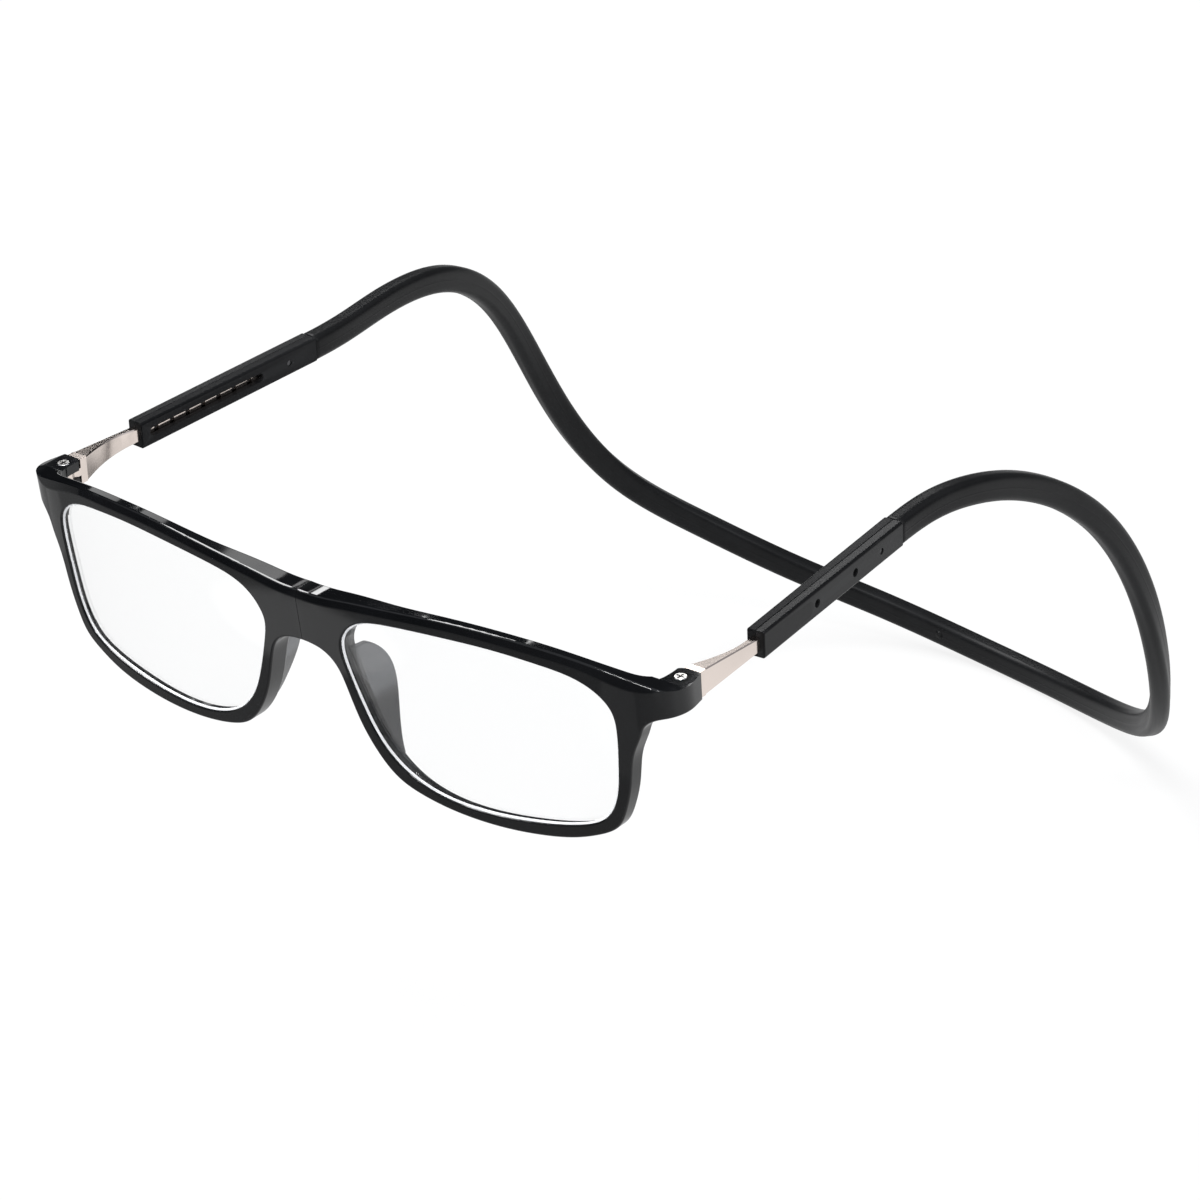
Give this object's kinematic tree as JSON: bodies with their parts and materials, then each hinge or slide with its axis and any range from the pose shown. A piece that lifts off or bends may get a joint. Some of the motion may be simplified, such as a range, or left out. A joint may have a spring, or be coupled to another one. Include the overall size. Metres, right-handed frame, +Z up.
{
  "type": "magnetic bridge reading glasses",
  "caption": "Black reading glasses that part at a magnetic bridge, with telescoping temple arms joined behind the neck by a soft flexible band.",
  "frame": {"origin": "on the closing plane of the bridge, at the upper front edge of the frame", "axes": "+X to the wearer's left, -Y ahead of the wearer, +Z up, as worn"},
  "size_m": [0.1496, 0.2096, 0.1118],
  "materials": {
    "frame_gloss": "polished black",
    "lens_clear": "clear, polished",
    "pad_clear": "translucent grey",
    "magnet_nickel": "nickel plated",
    "screw_steel": "bright",
    "arm_steel": "satin",
    "spring_steel": "bright",
    "sleeve_plastic": "satin black",
    "pin_steel": "dark",
    "band_rubber": "soft black"
  },
  "bodies": {
    "band": {"band_back": "band_rubber", "band_bend_left": "band_rubber", "band_bend_right": "band_rubber"},
    "side_left": {"band_side_left": "band_rubber", "sleeve_outer_left": "sleeve_plastic", "sleeve_inner_left": "sleeve_plastic", "band_pin_left": "pin_steel"},
    "arm_left": {"temple_arm_left": "arm_steel", "detent_spring_left": "spring_steel"},
    "front_left": {"front_half_left": "frame_gloss", "lens_left": "lens_clear", "nose_pad_left": "pad_clear", "bridge_magnet_left": "magnet_nickel", "hinge_screw_left": "screw_steel"},
    "side_right": {"band_side_right": "band_rubber", "sleeve_outer_right": "sleeve_plastic", "sleeve_inner_right": "sleeve_plastic", "band_pin_right": "pin_steel"},
    "arm_right": {"temple_arm_right": "arm_steel", "detent_spring_right": "spring_steel"},
    "front_right": {"front_half_right": "frame_gloss", "lens_right": "lens_clear", "nose_pad_right": "pad_clear", "bridge_magnet_right": "magnet_nickel", "hinge_screw_right": "screw_steel"}
  },
  "joints": [
    {"name": "band_flex_left", "type": "hinge", "parent": "band", "child": "side_left", "pos_m": [0.0714, 0.16168, -0.06108], "axis": [0, 0, 1], "range_deg": [0, 25], "stiffness_Nm_per_rad": 0.05, "deforming": ["band_bend_left"]},
    {"name": "arm_slide_left", "type": "slide", "parent": "side_left", "child": "arm_left", "axis": [0.0715, -0.9973, -0.0175], "range_m": [0, 0.0124]},
    {"name": "temple_hinge_left", "type": "hinge", "parent": "arm_left", "child": "front_left", "pos_m": [0.0693, 0.0166, -0.0048], "axis": [0, 0, -1], "range_deg": [0, 85]},
    {"name": "band_flex_right", "type": "hinge", "parent": "band", "child": "side_right", "pos_m": [-0.07089, 0.16321, -0.05467], "axis": [0, 0, -1], "range_deg": [0, 25], "stiffness_Nm_per_rad": 0.05, "deforming": ["band_bend_right"]},
    {"name": "arm_slide_right", "type": "slide", "parent": "side_right", "child": "arm_right", "axis": [-0.0715, -0.9973, -0.0175], "range_m": [0, 0.0124]},
    {"name": "temple_hinge_right", "type": "hinge", "parent": "arm_right", "child": "front_right", "pos_m": [-0.0693, 0.0166, -0.0048], "axis": [0, 0, 1], "range_deg": [0, 85]}
  ],
  "couplings": [
    {"joint": "temple_hinge_left", "follows": "band_flex_left", "ratio": 3.4},
    {"joint": "temple_hinge_right", "follows": "band_flex_right", "ratio": 3.4}
  ]
}
